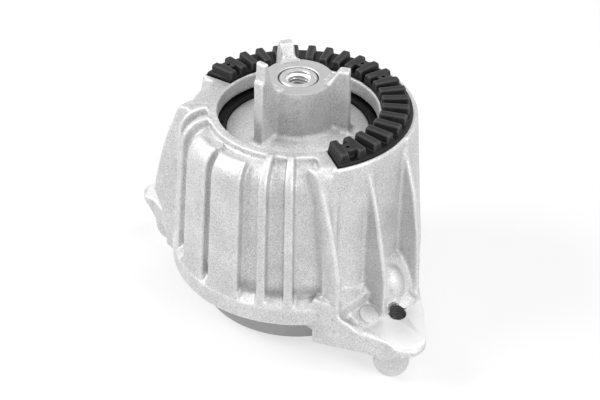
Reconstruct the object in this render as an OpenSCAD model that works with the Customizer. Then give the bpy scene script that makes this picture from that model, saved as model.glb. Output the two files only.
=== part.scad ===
// Hydraulic engine mount: cast housing with two feet, finned core, rubber spring and toothed buffers.
// Lengths are in millimetres. The origin is the centre of the pan's flat bottom, and +Z is the thread axis.

/* [Barrel] */
// Radius of the barrel at the groove floors, at the shoulder
barrel_r = 55.5; // [55:0.5:58]
// Radius over the panels and ribs, at the shoulder
panel_r = 60; // [59:0.5:62]
// Draft of the outer walls, which widen downward, in degrees
draft_a = 4.5; // [3:0.1:5]
// Rounding of the barrel's shoulder
shoulder_r = 15; // [12:0.5:17]
// Height of the rim round the opening
rim_z = 108.1; // [104:0.1:114]
// Radius of the opening in the deck
opening_r = 40.4; // [39:0.1:41]
// Depth of the opening's inner wall
rim_wall = 8.5; // [7:0.5:10]
// Radial width of the collar round the opening
collar_w = 4.8; // [4:0.1:6]
// How far the groove floors lie below the rim on the deck
deck_drop = 3.4; // [2:0.1:5]
// How far the panels stand above the rim on the deck
panel_rise = 1.3; // [0.5:0.1:2.5]

/* [Panels] */
// Azimuth of the middle of the panel pattern
pattern_a = -91; // [-92:0.5:-89]
// Half width of the groove between the broad panels, in degrees
mid_groove_a = 1.9; // [1.5:0.1:4]
// Width of a broad panel, in degrees
panel_a = 16.9; // [13:0.1:18]
// Angle from the pattern's middle to the first rib's middle, in degrees
rib_first_a = 30; // [28:0.5:32]
// Angle from rib to rib, in degrees
rib_pitch_a = 12.5; // [12:0.1:13]
// Width of each rib, in degrees
rib_a = 4.2; // [3:0.1:4.5]
// Number of ribs beside each broad panel
rib_count = 2; // [1:1:2]
// Radius at which the broad panels' ends start on the deck
panel_end_r = 54.5; // [50:0.5:56]
// Height at which the panels and ribs flare out to the flange ring
flare_z = 40; // [39:0.5:46]

/* [Flange ring and collar] */
// Radius of the flange ring
ring_r = 66; // [65.5:0.5:68]
// Underside of the flange ring
ring_z = 20.5; // [19:0.5:22]
// Height of the flange ring's outer face
ring_h = 10.5; // [9:0.5:12]
// Radius of the lower collar
skirt_r = 54.2; // [53.8:0.1:55.4]
// Height of the collar's lower edge
skirt_z = 13.5; // [13:0.5:14.5]

/* [Feet] */
// Distance of each threaded hole from the centre plane
hole_x = 75.5; // [73:0.5:80]
// Place of the threaded holes along Y
hole_y = -2.5; // [-4:0.5:-1]
// Core radius of the M10 thread in each foot
hole_r = 4.25; // [4:0.05:5]
// Chamfer at the threaded hole's ends
hole_chamfer = 1; // [0.5:0.1:1.5]
// Height of the machined face round each hole
face_z = 21.5; // [20:0.5:23]
// How far the machined face reaches behind the hole's axis
face_edge = 3; // [2:0.5:4]
// Height of the seating face under each foot
foot_z = 9.5; // [8:0.5:10]
// Radius of the foot's tip
tip_r = 9.6; // [8:0.2:11]
// Distance of the tip's centre beyond the hole
tip_reach = 16; // [14:0.5:18]
// Thickness of the tongue at the tip
tip_t = 5; // [4:0.5:6]
// Thickness of the foot's upright ribs
foot_rib_t = 3; // [2.5:0.5:4]
// Place of the right foot's near rib along Y
near_rib_y = -32.5; // [-34:0.5:-31]
// Place of the left foot's near rib along Y
left_near_rib_y = -35.5; // [-37:0.5:-34]
// Place of the middle ribs along Y
mid_rib_y = -9; // [-11:0.5:-8]
// Place of the far ribs along Y
far_rib_y = 17; // [15:0.5:19]
// Radius of the locating nose under each foot
nose_r = 9.2; // [8:0.2:10]
// How far the locating noses reach below the pan
nose_drop = 6; // [4:0.5:8]
// Turn of the left foot from the mirrored place of the right one, in degrees
left_turn_a = 3.3; // [0:0.1:5]

/* [Core] */
// Radius of the domed disc
disc_r = 36.3; // [34:0.1:38]
// Height of the disc's rim
disc_z = 97; // [95:0.5:98]
// Rise of the dome from its rim to the axis
dome_h = 6; // [4:0.5:8]
// Radius of the boss at its top
boss_r = 17.4; // [15:0.1:19]
// Height of the boss top
boss_z = 126; // [120:0.5:132]
// Thickness of the fins
fin_t = 6; // [4:0.5:7]
// Reach of the two short fins from the axis
fin_r = 25.8; // [24:0.2:28]
// Height of the short fins above the boss
fin_rise = 7.5; // [6:0.5:10]
// Reach of the tall fin from the axis
tall_fin_r = 27.7; // [26:0.2:29]
// Height of the tall fin above the boss
tall_fin_rise = 17.5; // [14:0.5:22]
// Radius of the flange that carries the spring
flange_r = 43.5; // [42:0.5:45]
// Underside of that flange
flange_z = 86; // [84:0.5:88]
// Thickness of that flange
flange_t = 6; // [5:0.5:7]
// Radius of the core's foot
core_foot_r = 17; // [15:0.5:19]
// Height of the core's foot
core_foot_z = 50; // [48:0.5:54]

/* [Thread insert] */
// Outer radius of the steel insert
insert_r = 9.5; // [9:0.1:10]
// Length of the steel insert
insert_len = 30; // [24:1:34]
// Core radius of the M12 thread
thread_r = 5.15; // [4.5:0.05:6]
// Radius of the counterbore above the thread
counterbore_r = 6.6; // [6.2:0.1:7.5]
// Depth of the counterbore
counterbore_h = 5; // [4:0.5:7]

/* [Buffers] */
// Azimuth of the gap between the two buffers
buffer_mid_a = 83; // [80:1:86]
// Angle from that gap's middle to each buffer's far end
buffer_span_a = 108; // [108:0.5:110]
// Gap between the two buffers, in degrees
buffer_gap_a = 2.4; // [1.6:0.2:2.6]
// Inner radius of the buffers
buffer_in_r = 41.8; // [41.4:0.1:43]
// Outer radius of the buffers
buffer_out_r = 57.5; // [56:0.1:58]
// Thickness of the buffers' band
band_t = 3.4; // [3:0.1:4.5]
// Height of the teeth above the band
tooth_h = 4.2; // [3:0.1:6]
// Width of a tooth at its foot
tooth_w = 5.2; // [4.5:0.1:5.3]
// Number of teeth on each buffer
tooth_count = 11; // [8:1:11]
// Pitch of the teeth, in degrees
tooth_pitch_a = 9.92; // [9.86:0.02:9.96]

/* [Inside] */
// Radius of the housing's lower bore
bore_r = 52.2; // [51.8:0.1:52.6]
// Height of the step that the spring ring seats on
seat_z = 38; // [37:0.5:40]
// Radius of the cavity round the main spring
cavity_r = 49.4; // [48.5:0.1:50]
// Height of the spring ring above its seat
spring_ring_h = 29; // [26:0.5:32]
// Outer radius of the pan's wall
pan_r = 50.8; // [49:0.1:51]
// Sheet thickness of the pan
pan_t = 1.5; // [1:0.1:2]
// Outer rounding of the pan's bottom edge
pan_round = 2.8; // [2.4:0.1:4]
// Height of the lip that the pan's rim rests on
pan_lip_h = 2; // [1.5:0.1:2.5]
// Underside of the two track plates
plate_z = 21; // [20:0.5:22]
// Thickness of each track plate
plate_t = 6.5; // [5:0.5:7]
// Radius of the decoupler disc
decoupler_r = 22; // [20:0.5:24]
// Thickness of the decoupler disc
decoupler_t = 4; // [3:0.5:5]

/* [Hidden] */
$fn = 96;
// Overrun of every cut past the faces that it opens
over = 1;
// Running or assembly clearance between separate pieces
clear = 0.1;
// Finer facets for the shallow dome
dome_fn = 180;

// Derived heights and radii of the barrel
deck_z = rim_z - deck_drop;
panel_z = rim_z + panel_rise;
lip_under_z = rim_z - rim_wall;
collar_r = opening_r + collar_w;
ring_top_z = ring_z + ring_h;
groove_foot_z = ring_top_z + ring_h / 2;
function wall_r(r, z) = r + (rim_z - shoulder_r - z) * tan(draft_a);

// Buffer seat: a recess with a thin lip round it, closed at both ends
seat_lip_w = 1.5;
seat_lip_rise = 1.9;
seat_depth = 1.8;
seat_end_a = 1.6;
rear_extra = 0.8;
rear_a = 18;
end_round = 6;
seat_floor_z = rim_z - seat_depth;
seat_lip_z = rim_z + seat_lip_rise;
seat_out_r = buffer_out_r + clear;
seat_in_r = buffer_in_r - clear;
seat_wall_r = seat_out_r + seat_lip_w;
wall_in_r = collar_r - collar_w / 2;
rear_r = seat_wall_r + rear_extra;
seat_a0 = buffer_mid_a - buffer_span_a - seat_end_a;
seat_a1 = buffer_mid_a + buffer_span_a + seat_end_a;
right_end_a = asin(near_rib_y / seat_wall_r);
left_end_a = 180 - asin(left_near_rib_y / seat_wall_r) + left_turn_a;

// Nibs under each buffer, which hold it in blind holes in the seat
nib_r = 2;
nib_len = 4;
nib_places_share = [0.12, 0.5, 0.88];

// Ring sector from one azimuth to another
module arc_ring(r_in, r_out, z0, z1, a0, a1) {
    rotate([0, 0, a0])
        rotate_extrude(angle = a1 - a0)
            translate([r_in, z0]) square([r_out - r_in, z1 - z0]);
}

// Half profile of a drafted barrel with a round shoulder
module shoulder_profile(r, top, rounding, bottom) {
    start = [r - rounding * (1 - cos(draft_a)), top - rounding * (1 - sin(draft_a))];
    polygon([[0, bottom], [start[0] + (start[1] - bottom) * tan(draft_a), bottom], start,
        [r - rounding, top - rounding], [r - rounding, top], [0, top]]);
    translate([r - rounding, top - rounding]) circle(rounding);
}

/* Housing */
// Barrel at the level of the groove floors, the collar round its opening, and the flange ring
module barrel() {
    rotate_extrude() shoulder_profile(barrel_r, deck_z, shoulder_r - deck_drop, ring_z);
    translate([0, 0, seat_z]) cylinder(r = collar_r, h = rim_z - seat_z);
    rotate_extrude() polygon([
        [0, skirt_z], [skirt_r, skirt_z], [skirt_r, ring_z - ring_h / 4],
        [ring_r - ring_h / 4, ring_z], [ring_r, ring_z + ring_h / 7],
        [ring_r, ring_top_z], [wall_r(barrel_r, groove_foot_z), groove_foot_z], [0, groove_foot_z]]);
}

// A panel or rib that climbs the barrel, bends over the shoulder and ends in a chamfer on the deck
module raised_strip(a0, a1, end_r) {
    strip_end = panel_rise + deck_drop;
    rotate([0, 0, a0])
        rotate_extrude(angle = a1 - a0) {
            difference() {
                shoulder_profile(panel_r, panel_z, shoulder_r, ring_top_z);
                polygon([[-over, 0], [end_r - strip_end, 0], [end_r - strip_end, rim_z - strip_end],
                    [end_r + panel_rise, panel_z + over], [-over, panel_z + over]]);
            }
            polygon([[cavity_r, ring_top_z], [ring_r - over, ring_top_z], [wall_r(panel_r, flare_z), flare_z],
                [cavity_r, flare_z]]);
        }
}

module panels() {
    for (side = [0, 1]) rotate([0, 0, pattern_a]) mirror([0, side, 0]) {
        raised_strip(mid_groove_a, mid_groove_a + panel_a, panel_end_r);
        for (i = [0 : rib_count - 1]) {
            a = rib_first_a + i * rib_pitch_a - rib_a / 2;
            raised_strip(a, a + rib_a, collar_r);
        }
    }
}

// Plain wall that carries the buffer seat and its lip; behind the feet it is drafted
module seat_wall() {
    arc_ring(wall_in_r, seat_wall_r, ring_top_z, seat_lip_z, seat_a0, seat_a1);
    rotate([0, 0, rear_a])
        rotate_extrude(angle = 180 - 2 * rear_a)
            polygon([[wall_in_r, ring_top_z], [rear_r + (seat_lip_z - ring_top_z) * tan(draft_a), ring_top_z],
                [rear_r, seat_lip_z], [wall_in_r, seat_lip_z]]);
}

// Smooth wall between an end of the seat and the foot's near rib
module end_wall(a0, a1) {
    rotate([0, 0, a0])
        rotate_extrude(angle = a1 - a0)
            difference() {
                shoulder_profile(seat_wall_r, rim_z, end_round, ring_top_z);
                translate([-over, 0]) square([wall_in_r + over, rim_z + over]);
            }
}

module seat_recess() {
    end_gap = seat_end_a / 2;
    arc_ring(seat_in_r, seat_out_r, seat_floor_z, seat_lip_z + over, seat_a0 + end_gap, seat_a1 - end_gap);
    arc_ring(opening_r - over, seat_in_r + clear, rim_z, seat_lip_z + over, seat_a0 - end_gap, seat_a1 + end_gap);
    for (i = [0, 1]) nibs(i, clear);
}

// Foot: plan and side outlines, ribs, mound and nose. Plan and side points are shares of hole_x along X;
// heights above the machined face are shares of its height, or of the height up to the rim
tip_x = hole_x + tip_reach;
tip_y = hole_y - 1.2 * tip_r;
foot_in_x = opening_r;
near_plan_share = [[0.669, -0.344], [0.669, -0.53], [0.854, -0.437], [1.013, -0.351]];
far_plan_share = [[1.093, 0.126], [0.947, 0.245], [0.762, 0.377]];
floor_share = [[0.907, 0.163], [0.854, 0.419], [0.762, 0.698]];
floor_in_share = 0.837;
near_edge_share = [[0.56, 0.99], [0.60, 0.985], [0.635, 0.955], [0.665, 0.885], [0.70, 0.79], [0.755, 0.64],
    [0.80, 0.475], [0.828, 0.36], [0.843, 0.13], [0.843, 0]];
left_near_edge_share = [[0.56, 0.99], [0.63, 0.975], [0.665, 0.93], [0.71, 0.84], [0.785, 0.70], [0.855, 0.528],
    [0.915, 0.365], [0.94, 0.26], [0.85, 0.1], [0.84, 0]];
mid_edge_share = [[0.74, 0.98], [0.772, 0.93], [0.851, 0.70], [0.939, 0.34], [0.98, 0.11], [0.99, 0]];
far_edge_share = [[0.74, 0.99], [0.765, 0.94], [0.865, 0.68], [0.919, 0.41], [0.946, 0.06], [0.95, 0]];
mound_share = [[0.748, 1.07], [0.815, 0.907], [0.868, 0.651], [0.907, 0.326], [0.927, 0.093]];
mound_in_share = 1.21;

module foot_plan() {
    polygon(concat([[foot_in_x, near_plan_share[0][1] * hole_x]],
        [for (p = near_plan_share) p * hole_x],
        [[tip_x - 0.42 * tip_r, tip_y - 0.985 * tip_r], [tip_x, tip_y - tip_r], [tip_x, tip_y],
            [tip_x + 0.66 * tip_r, tip_y + 0.75 * tip_r]],
        [for (p = far_plan_share) p * hole_x],
        [[foot_in_x, hole_x / 2]]));
    translate([tip_x, tip_y]) circle(tip_r);
}

// Side outline carried across the whole width of the part
module side_solid(outline) {
    translate([0, hole_x, 0]) rotate([90, 0, 0]) linear_extrude(2 * hole_x) polygon(outline);
}

module foot_base() {
    tip_end_x = tip_x + tip_r + over;
    intersection() {
        translate([0, 0, foot_z - over]) linear_extrude(2 * face_z) foot_plan();
        side_solid(concat(
            [[foot_in_x, foot_z], [tip_x - 0.85 * tip_r, foot_z], [tip_x - 0.42 * tip_r, face_z - tip_t],
                [tip_end_x, face_z - 0.8 * tip_t], [tip_end_x, face_z], [hole_x - face_edge, face_z]],
            [for (p = floor_share) [hole_x * p[0], face_z * (1 + p[1])]],
            [[foot_in_x, face_z * (1 + floor_in_share)]]));
    }
}

// Upright rib whose outer edge follows points given as shares
module foot_rib(y, edge) {
    h = rim_z - face_z;
    last = edge[len(edge) - 1];
    translate([0, y + foot_rib_t / 2, 0]) rotate([90, 0, 0]) linear_extrude(foot_rib_t)
        polygon(concat([[foot_in_x, foot_z + over], [foot_in_x, face_z + edge[0][1] * h]],
            [for (p = edge) [hole_x * p[0], face_z + p[1] * h]],
            [[hole_x * last[0], foot_z + over]]));
}

// Buttress behind the threaded hole, in the pocket between the middle and far ribs
module mound() {
    translate([0, far_rib_y, 0]) rotate([90, 0, 0]) linear_extrude(far_rib_y - mid_rib_y)
        polygon(concat([[foot_in_x, face_z / 2], [foot_in_x, face_z * (1 + mound_in_share)]],
            [for (p = mound_share) [hole_x * p[0], face_z * (1 + p[1])]],
            [[hole_x - face_edge, face_z], [hole_x - face_edge, face_z / 2]]));
}

// Round locating nose that grows out of the foot's underside
nose_flare_share = [[1.07, 0], [1.36, 0.42], [1.63, 0.67]];
module nose() {
    ball_z = nose_r - nose_drop;
    foot_h = face_z - foot_z;
    intersection() {
        translate([hole_x + 0.76 * nose_r, tip_y, 0]) rotate_extrude() intersection() {
            translate([0, -nose_drop - over]) square([2 * nose_r, face_z + nose_drop]);
            union() {
                translate([0, ball_z]) circle(nose_r);
                polygon(concat([[0, ball_z], [nose_r, ball_z]],
                    [for (p = nose_flare_share) [nose_r * p[0], foot_z + p[1] * foot_h]],
                    [[0, foot_z + nose_flare_share[2][1] * foot_h]]));
            }
        }
        translate([0, 0, -nose_drop - over]) linear_extrude(2 * face_z) foot_plan();
    }
}

module foot(near_y, near_edge) {
    difference() {
        union() {
            foot_base();
            foot_rib(near_y, near_edge);
            foot_rib(mid_rib_y, mid_edge_share);
            foot_rib(far_rib_y, far_edge_share);
            mound();
        }
        translate([hole_x - face_edge, -hole_x, face_z]) cube([hole_x, 2 * hole_x, rim_z]);
    }
    nose();
}

// Threaded hole, chamfered at both ends; its drill clears the nose below the foot
module foot_hole() {
    translate([hole_x, hole_y, 0]) {
        cylinder(r = hole_r, h = 2 * face_z);
        translate([0, 0, face_z - hole_chamfer])
            cylinder(r1 = hole_r, r2 = hole_r + hole_chamfer, h = hole_chamfer);
        translate([0, 0, face_z]) cylinder(r = hole_r + hole_chamfer, h = 2 * face_z);
        translate([0, 0, foot_z]) cylinder(r1 = hole_r + hole_chamfer, r2 = hole_r, h = hole_chamfer);
        translate([0, 0, -nose_drop - over])
            cylinder(r = hole_r + hole_chamfer, h = foot_z + nose_drop + over);
    }
}

module on_left() {
    rotate([0, 0, left_turn_a]) mirror([1, 0, 0]) children();
}

spring_step = 1;
module housing_bores() {
    pan_seat_z = skirt_z + pan_lip_h;
    translate([0, 0, pan_seat_z]) cylinder(r = bore_r, h = seat_z - pan_seat_z);
    translate([0, 0, foot_z - over]) cylinder(r = pan_r + 2 * clear, h = pan_seat_z - foot_z + 2 * over);
    translate([0, 0, seat_z - over]) cylinder(r = cavity_r + spring_step, h = spring_ring_h + over);
    translate([0, 0, seat_z]) cylinder(r = cavity_r, h = lip_under_z - seat_z);
    translate([0, 0, lip_under_z - over]) cylinder(r = opening_r, h = rim_wall + panel_rise + 2 * over);
}

module housing() {
    color("silver") difference() {
        union() {
            barrel();
            panels();
            seat_wall();
            end_wall(right_end_a, seat_a0 + seat_end_a / 4);
            end_wall(seat_a1 - seat_end_a / 4, left_end_a);
            foot(near_rib_y, near_edge_share);
            on_left() foot(left_near_rib_y, left_near_edge_share);
        }
        seat_recess();
        housing_bores();
        foot_hole();
        on_left() foot_hole();
    }
}

/* Core */
// Azimuths of the tall fin and of the two short ones
fin_a = [-89, 31, 151];
boss_draft = 1;
insert_gap = 0.6;
insert_gap_h = 2.5;
insert_chamfer = 0.8;
// Underside from the foot to the flange, as shares of the way out and up
core_cone_share = [[0.189, 0.278], [0.472, 0.667], [0.698, 0.889]];
short_edge_share = [[1, 1], [0.806, 1], [0.705, 0.5], [0.643, 0.2]];
tall_edge_share = [[1, 0.429], [0.953, 0.457], [0.946, 1], [0.841, 1], [0.798, 0.714], [0.733, 0.371],
    [0.653, 0.086]];

function core_cone(gap) = [for (p = core_cone_share)
    [core_foot_r + p[0] * (flange_r - core_foot_r) + gap, core_foot_z + p[1] * (flange_z - core_foot_z)]];

// Fin whose outer and upper edges follow shares of its reach and of its rise above the boss
module fin(a, reach, rise, edge) {
    rotate([0, 0, a]) translate([0, fin_t / 2, 0]) rotate([90, 0, 0]) linear_extrude(fin_t)
        polygon(concat([[0, disc_z], [reach + boss_draft, disc_z]],
            [for (p = edge) [reach * p[0], boss_z + rise * p[1]]],
            [[0.88 * boss_r, boss_z], [0, boss_z]]));
}

module core() {
    dome_ball_r = (disc_r * disc_r + dome_h * dome_h) / (2 * dome_h);
    color("silver") difference() {
        union() {
            rotate_extrude() {
                intersection() {
                    translate([0, disc_z + dome_h - dome_ball_r]) circle(dome_ball_r, $fn = dome_fn);
                    translate([0, flange_z]) square([disc_r, boss_z]);
                }
                polygon(concat([[0, core_foot_z], [core_foot_r, core_foot_z]], core_cone(0),
                    [[flange_r, flange_z], [flange_r, flange_z + flange_t], [0, flange_z + flange_t]]));
            }
            translate([0, 0, disc_z]) cylinder(r1 = boss_r + boss_draft, r2 = boss_r, h = boss_z - disc_z);
            fin(fin_a[0], tall_fin_r, tall_fin_rise, tall_edge_share);
            fin(fin_a[1], fin_r, fin_rise, short_edge_share);
            fin(fin_a[2], fin_r, fin_rise, short_edge_share);
        }
        translate([0, 0, boss_z - insert_len]) cylinder(r = insert_r + clear / 2, h = insert_len + over);
        translate([0, 0, boss_z - insert_gap_h]) cylinder(r = insert_r + insert_gap, h = insert_gap_h + over);
    }
}

module core_insert() {
    top = boss_z - clear;
    color("lightsteelblue") difference() {
        translate([0, 0, boss_z - insert_len]) cylinder(r = insert_r, h = top - boss_z + insert_len);
        translate([0, 0, boss_z - insert_len - over]) cylinder(r = thread_r, h = insert_len + 2 * over);
        translate([0, 0, top - counterbore_h]) cylinder(r = counterbore_r, h = counterbore_h + over);
        translate([0, 0, top - insert_chamfer])
            cylinder(r1 = counterbore_r, r2 = counterbore_r + insert_chamfer + clear, h = insert_chamfer + clear);
    }
}

/* Rubber buffers on the deck */
band_z = seat_floor_z + band_t;
tooth_z = band_z + tooth_h;
tooth_end_r = buffer_out_r - 0.38 * tooth_w;
tooth_top_share = 0.76;
pin_r = 1;

// Azimuth of tooth i of a buffer, counted from the split
function tooth_a(i) = tooth_pitch_a * (i + 0.5);

module nibs(i, gap) {
    for (s = nib_places_share)
        rotate([0, 0, buffer_mid_a + (i == 0 ? -1 : 1) * buffer_span_a * s])
            translate([(buffer_in_r + buffer_out_r) / 2, 0, seat_floor_z - nib_len - gap])
                cylinder(r = nib_r + gap, h = nib_len + gap + over);
}

module tooth(a) {
    w = tooth_w / 2;
    rotate([0, 0, a]) translate([buffer_in_r - over, 0, 0]) rotate([90, 0, 90])
        linear_extrude(buffer_out_r - buffer_in_r + over)
            polygon([[-w, band_z - over], [w, band_z - over], [w, band_z], [w * tooth_top_share, tooth_z],
                [-w * tooth_top_share, tooth_z], [-w, band_z]]);
}

// Web with a pin hole that joins the two teeth at each end of a buffer
module end_web(a) {
    buffer_w = buffer_out_r - buffer_in_r;
    rotate([0, 0, a]) difference() {
        translate([buffer_in_r + 0.29 * buffer_w, -tooth_w, band_z - over])
            cube([0.41 * buffer_w, 2 * tooth_w, 0.95 * tooth_h + over]);
        translate([buffer_in_r + 0.48 * buffer_w, 0, band_z + over]) cylinder(r = pin_r, h = tooth_h + over);
    }
}

// One buffer, drawn on the side of growing azimuth from the split
module buffer_half() {
    a0 = buffer_gap_a / 2;
    arc_ring(buffer_in_r, buffer_out_r, seat_floor_z, band_z, a0, buffer_span_a);
    intersection() {
        arc_ring(buffer_in_r, tooth_end_r, seat_floor_z, tooth_z, a0, buffer_span_a);
        union() {
            for (i = [0 : tooth_count - 1]) tooth(tooth_a(i));
            end_web(tooth_a(0.5));
            end_web(tooth_a(tooth_count - 1.5));
        }
    }
}

module buffer(i) {
    color([0.13, 0.13, 0.14]) {
        rotate([0, 0, buffer_mid_a]) mirror([0, i == 0 ? 1 : 0, 0]) buffer_half();
        nibs(i, 0);
    }
}

module buffer_right() { buffer(0); }
module buffer_left() { buffer(1); }

/* Rubber and metal rings inside */
stop_gap = 1;
stop_out_r = flange_r + 2 * stop_gap;
stop_top_z = lip_under_z - stop_gap;
stop_pad_a = [100, 220, 340];
stop_pad_half_a = 4;
stop_pad_h = 0.8;
module stop_ring() {
    stop_z = flange_z + flange_t + clear;
    color([0.15, 0.15, 0.16]) {
        rotate_extrude() polygon([[disc_r + clear, stop_z], [stop_out_r, stop_z],
            [stop_out_r, stop_top_z - 2 * stop_gap], [flange_r, stop_top_z], [disc_r + stop_gap, stop_top_z],
            [disc_r + clear, stop_top_z - stop_gap]]);
        for (a = stop_pad_a)
            arc_ring(disc_r + 1.5 * stop_gap, flange_r - stop_gap, stop_top_z - stop_gap, stop_top_z + stop_pad_h,
                a - stop_pad_half_a, a + stop_pad_half_a);
    }
}

// Spring ring: a lower skirt in the bore, and a thin wall up the cavity that the rubber is bonded to
spring_skirt_w = 5;
spring_wall_t = 1.6;
spring_taper_h = 3;
spring_ring_top = seat_z + spring_ring_h;
spring_foot_z = plate_z + 2 * plate_t;
spring_in_r = cavity_r - spring_skirt_w;
module spring_ring() {
    step_r = cavity_r + spring_step - clear;
    color("gainsboro") rotate_extrude() polygon([
        [spring_in_r, spring_foot_z], [bore_r - clear, spring_foot_z], [bore_r - clear, seat_z - clear],
        [step_r, seat_z - clear], [step_r, spring_ring_top], [step_r - spring_wall_t, spring_ring_top],
        [spring_in_r, seat_z + spring_taper_h]]);
}

// Bonded rubber cone between the core and the spring ring
spring_bulge = 0.5;
spring_neck = 1.5;
spring_foot_w = 2.5;
module main_spring() {
    gap = clear / 2;
    outer_r = cavity_r + spring_step - clear - spring_wall_t - gap;
    low_r = spring_in_r - spring_foot_w;
    color([0.14, 0.14, 0.15]) rotate_extrude() polygon(concat(
        [[core_foot_r + gap, core_foot_z]], core_cone(gap),
        [[flange_r - 2 * spring_bulge, flange_z - spring_bulge - gap],
            [flange_r - spring_bulge, flange_z - 2 * flange_t / 3], [flange_r - spring_neck, flange_z - 2 * flange_t],
            [flange_r + spring_bulge, spring_ring_top + spring_taper_h], [outer_r - spring_bulge, spring_ring_top - gap],
            [outer_r, spring_ring_top - gap], [spring_in_r - gap, seat_z + spring_taper_h],
            [spring_in_r - gap, spring_foot_z + over], [low_r, spring_foot_z + over],
            [low_r - spring_neck, seat_z + spring_taper_h + over],
            [flange_r - 1.5 * flange_t, core_foot_z - spring_skirt_w], [core_foot_r + 1.5 * flange_t, core_foot_z]]));
}

// Fluid track between the two plates: a channel round the decoupler's chamber
channel_in_r = 1.5 * decoupler_r;
channel_w = 9;
channel_mid_r = channel_in_r + channel_w / 2;
channel_floor = 2;
channel_a = [-8, 300];
port_r = 3.5;
port_turn_a = 6;
grille_r = 2.5;
grille_share = [0.36, 0.74];
chamber_r = decoupler_r + 5 * clear;
module decoupler() {
    color([0.16, 0.16, 0.17]) translate([0, 0, plate_z + plate_t - decoupler_t / 2])
        cylinder(r = decoupler_r, h = decoupler_t);
}

// Through holes that let fluid reach the decoupler
module grille(z) {
    hole_h = plate_t + 2 * over;
    translate([0, 0, z]) {
        cylinder(r = grille_r, h = hole_h);
        for (a = [0 : 60 : 300]) rotate([0, 0, a]) translate([decoupler_r * grille_share[0], 0, 0])
            cylinder(r = grille_r, h = hole_h);
        for (a = [15 : 30 : 345]) rotate([0, 0, a]) translate([decoupler_r * grille_share[1], 0, 0])
            cylinder(r = grille_r, h = hole_h);
    }
}

module track_plate_upper() {
    z0 = plate_z + plate_t;
    color("silver") difference() {
        translate([0, 0, z0]) cylinder(r = bore_r - clear, h = plate_t - clear / 2);
        translate([0, 0, z0 - over]) cylinder(r = chamber_r, h = decoupler_t / 2 + clear + over);
        grille(z0);
        translate([channel_mid_r, 0, z0 - over]) cylinder(r = port_r, h = plate_t + 2 * over);
    }
}

module track_plate_lower() {
    color("silver") difference() {
        translate([0, 0, plate_z]) cylinder(r = bore_r - clear, h = plate_t - clear / 2);
        translate([0, 0, plate_z + plate_t - decoupler_t / 2 - clear])
            cylinder(r = chamber_r, h = decoupler_t / 2 + clear + over);
        grille(plate_z - over);
        arc_ring(channel_in_r, channel_in_r + channel_w, plate_z + channel_floor, plate_z + plate_t + over,
            channel_a[0], channel_a[1]);
        rotate([0, 0, channel_a[1] - port_turn_a]) translate([channel_mid_r, 0, plate_z - over])
            cylinder(r = port_r, h = plate_t);
    }
}

// Rolling diaphragm: radii are shares of the pan's radius, heights are shares of the bead's height
bead_h = 2.4;
bead_z = plate_z - bead_h;
bead_in_share = 0.957;
diaphragm_low_share = [[0, 0.505], [0.236, 0.505], [0.394, 0.559], [0.531, 0.667], [0.63, 0.613], [0.709, 0.376],
    [0.787, 0.269], [0.866, 0.301], [0.925, 0.484], [0.949, 1]];
diaphragm_high_share = [[0.89, 0.538], [0.846, 0.398], [0.787, 0.366], [0.736, 0.452], [0.657, 0.694],
    [0.531, 0.763], [0.382, 0.656], [0.236, 0.602], [0, 0.602]];
module diaphragm() {
    top = plate_z - clear / 2;
    color([0.13, 0.13, 0.14]) rotate_extrude() polygon(concat(
        [for (p = diaphragm_low_share) [pan_r * p[0], bead_z * p[1]]],
        [[bore_r - clear, bead_z], [bore_r - clear, top], [0.917 * pan_r, top]],
        [for (p = diaphragm_high_share) [pan_r * p[0], bead_z * p[1]]]));
}

module diaphragm_ring() {
    foot = skirt_z + pan_lip_h + pan_t + clear;
    in_r = bead_in_share * pan_r;
    color("lightgray") rotate_extrude() translate([in_r, foot])
        square([bore_r - clear - in_r, bead_z - clear / 2 - foot]);
}

// Pressed pan with a rounded bottom edge and a rim that rests on the housing's lip
module base_pan() {
    rim = skirt_z + pan_lip_h;
    flat_r = pan_r - pan_round;
    color("gray") rotate_extrude() difference() {
        union() {
            translate([0, pan_round]) square([pan_r, rim + pan_t - pan_round]);
            square([flat_r, skirt_z]);
            translate([flat_r, pan_round]) circle(pan_round);
            translate([0, rim]) square([bore_r - clear, pan_t]);
        }
        translate([-over, pan_round]) square([pan_r - pan_t + over, rim_z]);
        translate([-over, pan_t]) square([flat_r + over, skirt_z]);
        translate([flat_r, pan_round]) circle(pan_round - pan_t);
    }
}

housing();
core();
core_insert();
buffer_right();
buffer_left();
stop_ring();
main_spring();
spring_ring();
track_plate_upper();
track_plate_lower();
decoupler();
diaphragm();
diaphragm_ring();
base_pan();
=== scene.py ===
import math

import bmesh
import bpy
import numpy as np
import openvdb
from mathutils import Matrix, Vector


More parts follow.
